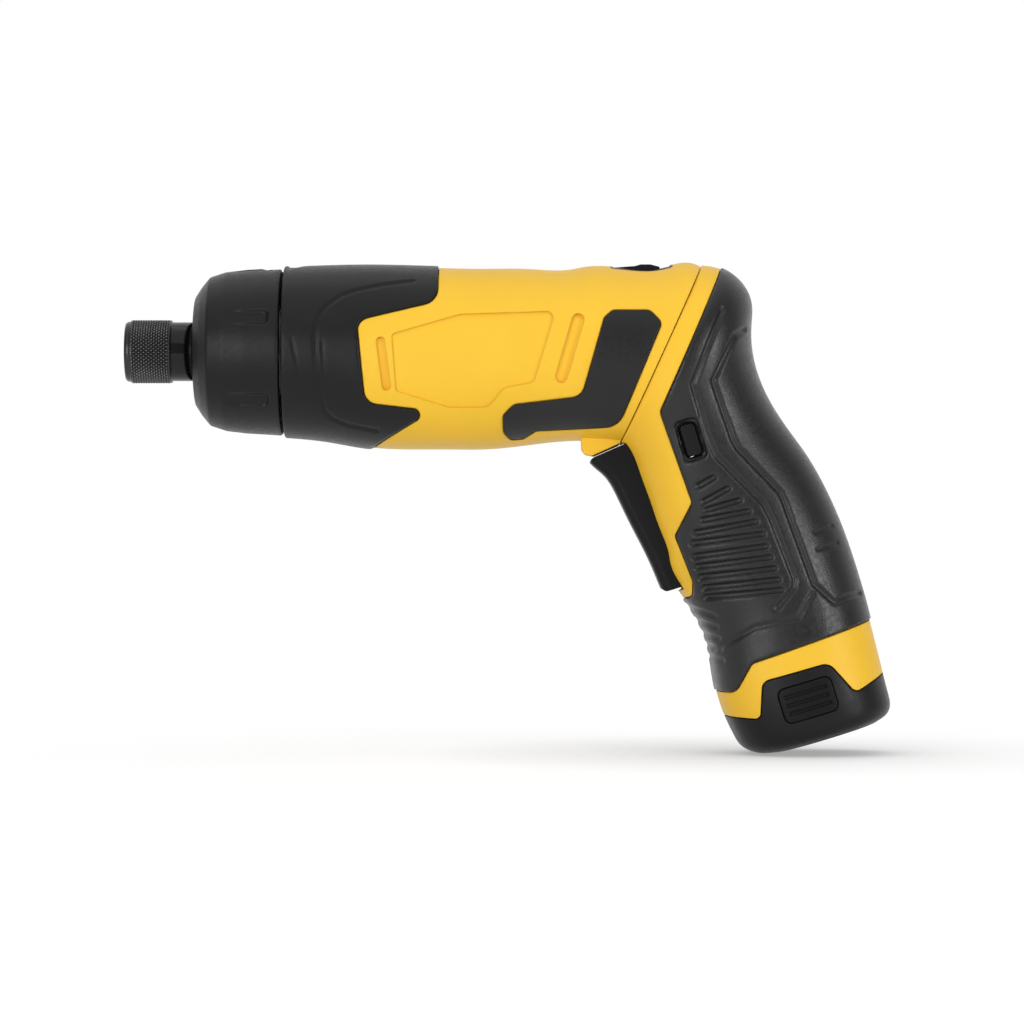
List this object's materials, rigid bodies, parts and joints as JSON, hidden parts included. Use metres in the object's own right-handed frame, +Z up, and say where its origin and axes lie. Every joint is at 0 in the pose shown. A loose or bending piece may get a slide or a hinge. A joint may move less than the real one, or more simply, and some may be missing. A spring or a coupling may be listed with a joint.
{
  "type": "cordless screwdriver",
  "caption": "Cordless screwdriver whose black gripped handle twists on a slanted plane behind a yellow barrel, with a torque collar, a quick-change bit socket and a slide-out battery foot.",
  "frame": {"origin": "mouth of the bit socket, on the output axis", "axes": "+X back along the output axis towards the handle, +Y to the tool's right side, +Z up"},
  "size_m": [0.1909, 0.0446, 0.1226],
  "materials": {
    "yellow_shell": "fine satin moulded yellow",
    "soft_grip": "matte soft-touch",
    "black_plastic": "fine grained black",
    "inner_plastic": "plain moulded",
    "dark_steel": "black oxide, knurled",
    "steel": "machined",
    "bearing_bronze": "sintered bronze",
    "gear_case_alloy": "die cast",
    "cell_wrap": "wrapped cell"
  },
  "bodies": {
    "body": {"body_left": "yellow_shell", "body_right": "yellow_shell", "nose_cover": "black_plastic", "side_pad_left": "soft_grip", "side_pad_right": "soft_grip", "body_screws": "steel", "gear_case": "gear_case_alloy", "collar_clip": "steel", "spindle_bushes": "bearing_bronze", "ring_gear": "steel", "motor_can": "steel", "magnets": "steel", "motor_end_cap": "inner_plastic", "motor_bushes": "bearing_bronze", "pivot_ring": "inner_plastic", "lock_bezel": "black_plastic"},
    "collar": {"torque_collar": "black_plastic"},
    "spindle": {"spindle": "steel", "sleeve_clip": "steel", "bit_ball": "steel", "planet_pins_b": "steel", "sleeve_spring": "steel"},
    "sleeve": {"bit_sleeve": "dark_steel"},
    "carrier": {"carrier": "steel", "planet_pins_a": "steel"},
    "rotor": {"rotor": "steel"},
    "lock": {"lock_button": "black_plastic"},
    "handle": {"handle_left": "yellow_shell", "handle_right": "yellow_shell", "grip_left": "soft_grip", "grip_right": "soft_grip", "handle_screws": "steel", "switch_box": "inner_plastic", "contact_block": "inner_plastic", "terminals": "bearing_bronze", "trigger_spring": "steel"},
    "trigger": {"trigger": "black_plastic"},
    "direction": {"direction_button": "black_plastic"},
    "battery": {"battery_shell": "black_plastic", "battery_cap": "black_plastic", "cells": "cell_wrap", "latch_spring_left": "steel", "latch_spring_right": "steel"},
    "latch_l": {"latch_left": "black_plastic"},
    "latch_r": {"latch_right": "black_plastic"},
    "planet_a1": {"planet_a1": "steel"},
    "planet_a2": {"planet_a2": "steel"},
    "planet_a3": {"planet_a3": "steel"},
    "planet_b1": {"planet_b1": "steel"},
    "planet_b2": {"planet_b2": "steel"},
    "planet_b3": {"planet_b3": "steel"}
  },
  "joints": [
    {"name": "collar_turn", "type": "hinge", "parent": "body", "child": "collar", "pos_m": [0.03, 0, 0], "axis": [1, 0, 0], "range_deg": [0, 270]},
    {"name": "spindle_spin", "type": "hinge", "parent": "body", "child": "spindle", "pos_m": [0.03, 0, 0], "axis": [1, 0, 0], "continuous": true},
    {"name": "sleeve_slide", "type": "slide", "parent": "spindle", "child": "sleeve", "axis": [-1, 0, 0], "range_m": [0, 0.003], "stiffness_N_per_m": 600, "springref_m": -0.005, "deforming": ["sleeve_spring"]},
    {"name": "carrier_spin", "type": "hinge", "parent": "body", "child": "carrier", "pos_m": [0.06, 0, 0], "axis": [1, 0, 0], "continuous": true},
    {"name": "rotor_spin", "type": "hinge", "parent": "body", "child": "rotor", "pos_m": [0.09, 0, 0], "axis": [1, 0, 0], "continuous": true},
    {"name": "lock_slide", "type": "slide", "parent": "body", "child": "lock", "axis": [1, 0, 0], "range_m": [0, 0.0024]},
    {"name": "handle_twist", "type": "hinge", "parent": "body", "child": "handle", "pos_m": [0.1333, 0, -0.00125], "axis": [0.9092, 0, -0.4163], "range_deg": [0, 180]},
    {"name": "trigger_pull", "type": "slide", "parent": "handle", "child": "trigger", "axis": [0.9164, 0, 0.4003], "range_m": [0, 0.005], "stiffness_N_per_m": 500, "springref_m": -0.006, "deforming": ["trigger_spring"]},
    {"name": "direction_slide", "type": "slide", "parent": "handle", "child": "direction", "axis": [0, 1, 0], "range_m": [-0.0015, 0.0015]},
    {"name": "battery_slide", "type": "slide", "parent": "handle", "child": "battery", "axis": [0.2924, 0, -0.9563], "range_m": [0, 0.055]},
    {"name": "latch_left_press", "type": "slide", "parent": "battery", "child": "latch_l", "axis": [0, 1, 0], "range_m": [0, 0.0024], "stiffness_N_per_m": 400, "springref_m": -0.004, "deforming": ["latch_spring_left"]},
    {"name": "latch_right_press", "type": "slide", "parent": "battery", "child": "latch_r", "axis": [0, -1, 0], "range_m": [0, 0.0024], "stiffness_N_per_m": 400, "springref_m": -0.004, "deforming": ["latch_spring_right"]},
    {"name": "planet_b1_spin", "type": "hinge", "parent": "spindle", "child": "planet_b1", "pos_m": [0.055, 0, 0.00945], "axis": [1, 0, 0], "continuous": true},
    {"name": "planet_b2_spin", "type": "hinge", "parent": "spindle", "child": "planet_b2", "pos_m": [0.055, -0.00818, -0.00473], "axis": [1, 0, 0], "continuous": true},
    {"name": "planet_b3_spin", "type": "hinge", "parent": "spindle", "child": "planet_b3", "pos_m": [0.055, 0.00818, -0.00473], "axis": [1, 0, 0], "continuous": true},
    {"name": "planet_a1_spin", "type": "hinge", "parent": "carrier", "child": "planet_a1", "pos_m": [0.066, 0, 0.00945], "axis": [1, 0, 0], "continuous": true},
    {"name": "planet_a2_spin", "type": "hinge", "parent": "carrier", "child": "planet_a2", "pos_m": [0.066, -0.00818, -0.00473], "axis": [1, 0, 0], "continuous": true},
    {"name": "planet_a3_spin", "type": "hinge", "parent": "carrier", "child": "planet_a3", "pos_m": [0.066, 0.00818, -0.00473], "axis": [1, 0, 0], "continuous": true}
  ],
  "couplings": [
    {"joint": "carrier_spin", "follows": "rotor_spin", "ratio": 0.22222},
    {"joint": "spindle_spin", "follows": "rotor_spin", "ratio": 0.049383},
    {"joint": "planet_b1_spin", "follows": "rotor_spin", "ratio": -0.13827},
    {"joint": "planet_b2_spin", "follows": "rotor_spin", "ratio": -0.13827},
    {"joint": "planet_b3_spin", "follows": "rotor_spin", "ratio": -0.13827},
    {"joint": "planet_a1_spin", "follows": "rotor_spin", "ratio": -0.62222},
    {"joint": "planet_a2_spin", "follows": "rotor_spin", "ratio": -0.62222},
    {"joint": "planet_a3_spin", "follows": "rotor_spin", "ratio": -0.62222}
  ]
}
